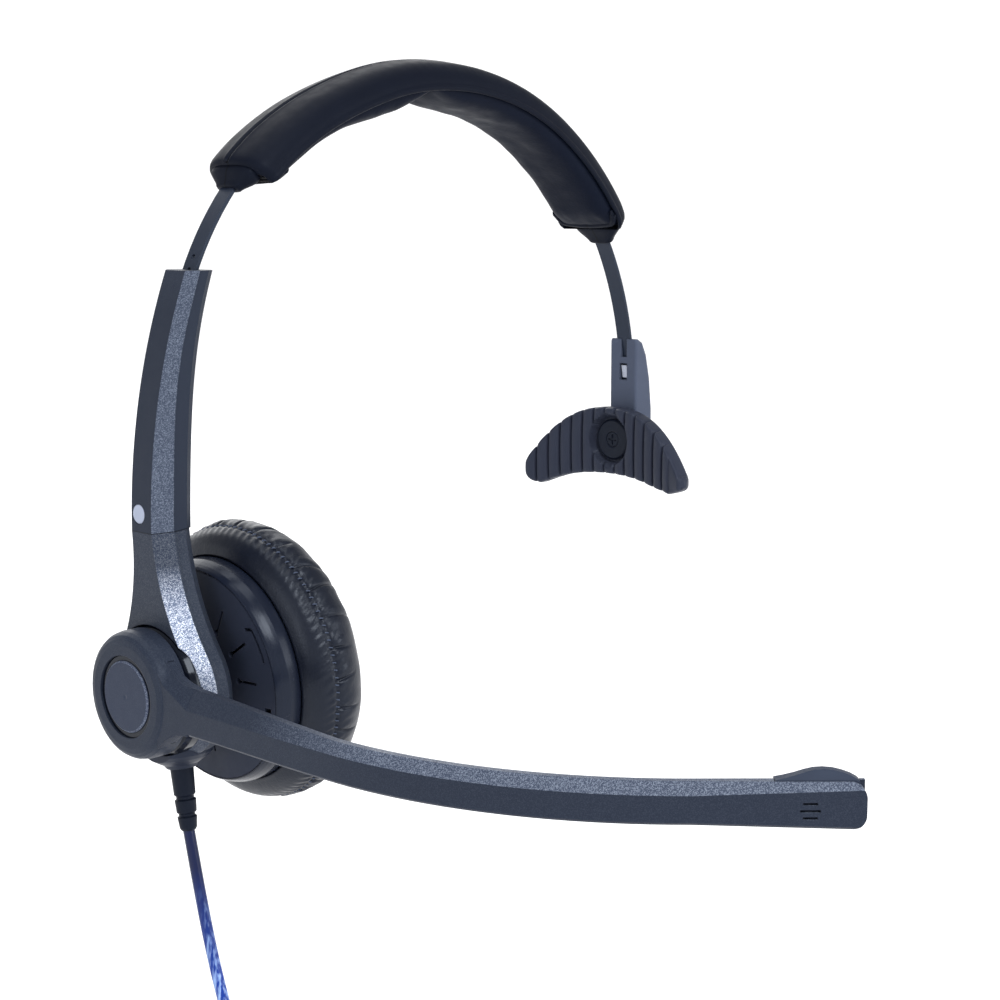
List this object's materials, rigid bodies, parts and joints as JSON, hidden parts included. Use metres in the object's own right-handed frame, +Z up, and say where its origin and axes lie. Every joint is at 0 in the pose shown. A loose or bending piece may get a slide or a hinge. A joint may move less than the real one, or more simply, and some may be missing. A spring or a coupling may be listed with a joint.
{
  "type": "headset",
  "caption": "One-ear office headset: padded sprung headband with a sliding arm, tilting ear cup, T-bar head rest, swinging microphone boom and a coiled bottom cord with a plug",
  "frame": {"origin": "middle of the wearer's head: on the hub's axis, midway between the ear cushion's face and the T-bar pad", "axes": "+X runs from the ear cup across the head to the T-bar, -Y is the way the boom points at rest (the wearer's front), +Z is up"},
  "size_m": [0.1624, 0.1755, 0.2278],
  "materials": {
    "headband_strip": "black coated spring steel",
    "strip_stop": "matte moulded plastic",
    "headband_sleeve": "matte",
    "band_collar_left": "matte",
    "band_collar_right": "matte",
    "head_cushion_left": "satin leatherette",
    "head_cushion_right": "satin leatherette",
    "arm_outer_shell": "satin, fine metallic speckle",
    "arm_inner_shell": "matte moulded plastic",
    "arm_screws": "bright",
    "arm_badge": "blank, satin",
    "arm_guide": "matte moulded plastic",
    "detent_spring": "bright",
    "yoke_outer_shell": "satin, fine metallic speckle",
    "yoke_inner_shell": "matte moulded plastic",
    "yoke_screws": "bright",
    "cord_gland": "matte moulded plastic",
    "strain_relief": "matte",
    "hub_trim_ring": "gloss black",
    "hub_axle": "matte moulded plastic",
    "hub_washer": "bright",
    "hub_screw": "bright",
    "hub_bearing": "self-oiling",
    "hub_cap": "satin, fine metallic speckle",
    "hub_seal_ring": "gloss black",
    "boom_outer_shell": "satin, fine metallic speckle",
    "boom_inner_shell": "satin, fine metallic speckle",
    "mic_capsule": "satin",
    "mic_boot": "matte",
    "mic_screen": "woven acoustic mesh",
    "mic_rubber_cap": "matte",
    "mic_wires": "insulated",
    "cup_ball_stud": "bright",
    "cup_pivot_liner": "acetal",
    "cup_back_shell": "matte moulded plastic",
    "cup_trim_ring": "gloss black",
    "cup_baffle": "matte moulded plastic",
    "cup_screws": "bright",
    "speaker_basket": "bright",
    "speaker_magnet": "plated",
    "voice_coil": "enamelled copper",
    "speaker_diaphragm": "thin film",
    "speaker_grille": "matte moulded plastic",
    "ear_felt": "open foam",
    "ear_cushion": "satin leatherette",
    "cushion_foam": "soft foam",
    "tbar_holder": "satin",
    "tbar_lock_tab": "bright",
    "tbar_pad": "matte",
    "tbar_carrier": "matte moulded plastic",
    "tbar_cap": "matte moulded plastic",
    "tbar_screw": "black",
    "cord_tube": "translucent blue jacket",
    "cord_tail": "translucent blue jacket",
    "cord_coil": "translucent blue jacket",
    "cord_tie": "matte",
    "plug_boot": "matte",
    "plug_contacts": "plated",
    "plug_shell_top": "matte moulded plastic",
    "plug_shell_bottom": "matte moulded plastic"
  },
  "bodies": {
    "arm": {"arm_outer_shell": "arm_outer_shell", "arm_inner_shell": "arm_inner_shell", "arm_screws": "arm_screws", "arm_badge": "arm_badge", "arm_guide": "arm_guide", "detent_spring": "detent_spring", "yoke_outer_shell": "yoke_outer_shell", "yoke_inner_shell": "yoke_inner_shell", "yoke_screws": "yoke_screws", "cord_gland": "cord_gland", "strain_relief": "strain_relief", "hub_trim_ring": "hub_trim_ring", "hub_axle": "hub_axle", "hub_washer": "hub_washer", "hub_screw": "hub_screw", "cup_ball_stud": "cup_ball_stud", "cord_tube": "cord_tube", "cord_tail": "cord_tail", "cord_coil": "cord_coil", "cord_tie": "cord_tie", "plug_boot": "plug_boot", "plug_contacts": "plug_contacts", "plug_shell_top": "plug_shell_top", "plug_shell_bottom": "plug_shell_bottom"},
    "headband": {"headband_strip": "headband_strip", "strip_stop": "strip_stop", "headband_sleeve": "headband_sleeve", "band_collar_left": "band_collar_left", "band_collar_right": "band_collar_right", "head_cushion_left": "head_cushion_left", "head_cushion_right": "head_cushion_right", "tbar_holder": "tbar_holder", "tbar_lock_tab": "tbar_lock_tab", "tbar_cap": "tbar_cap", "tbar_screw": "tbar_screw"},
    "tbar": {"tbar_pad": "tbar_pad", "tbar_carrier": "tbar_carrier"},
    "boom": {"hub_cap": "hub_cap", "hub_seal_ring": "hub_seal_ring", "hub_bearing": "hub_bearing", "boom_outer_shell": "boom_outer_shell", "boom_inner_shell": "boom_inner_shell", "mic_capsule": "mic_capsule", "mic_boot": "mic_boot", "mic_screen": "mic_screen", "mic_rubber_cap": "mic_rubber_cap", "mic_wires": "mic_wires"},
    "cup_pivot": {"cup_pivot_liner": "cup_pivot_liner"},
    "ear_cup": {"cup_back_shell": "cup_back_shell", "cup_trim_ring": "cup_trim_ring", "cup_baffle": "cup_baffle", "cup_screws": "cup_screws", "speaker_basket": "speaker_basket", "speaker_magnet": "speaker_magnet", "voice_coil": "voice_coil", "speaker_diaphragm": "speaker_diaphragm", "speaker_grille": "speaker_grille", "ear_felt": "ear_felt", "ear_cushion": "ear_cushion", "cushion_foam": "cushion_foam"}
  },
  "joints": [
    {"name": "headband_adjust", "type": "hinge", "parent": "arm", "child": "headband", "pos_m": [-0.014, 0, 0.057], "axis": [0, 1, 0], "range_deg": [-10, 10]},
    {"name": "tbar_rock", "type": "hinge", "parent": "headband", "child": "tbar", "pos_m": [0.058, 0, 0.0386], "axis": [1, 0, 0], "range_deg": [-15, 15]},
    {"name": "boom_swing", "type": "hinge", "parent": "arm", "child": "boom", "pos_m": [-0.096, 0, 0], "axis": [1, 0, 0], "range_deg": [-218, 37]},
    {"name": "cup_swivel", "type": "hinge", "parent": "arm", "child": "cup_pivot", "pos_m": [-0.0766, 0, 0.0009], "axis": [0, 0, 1], "range_deg": [-5, 5]},
    {"name": "cup_tilt", "type": "hinge", "parent": "cup_pivot", "child": "ear_cup", "pos_m": [-0.0766, 0, 0.0009], "axis": [0, 1, 0], "range_deg": [-5, 5]}
  ]
}
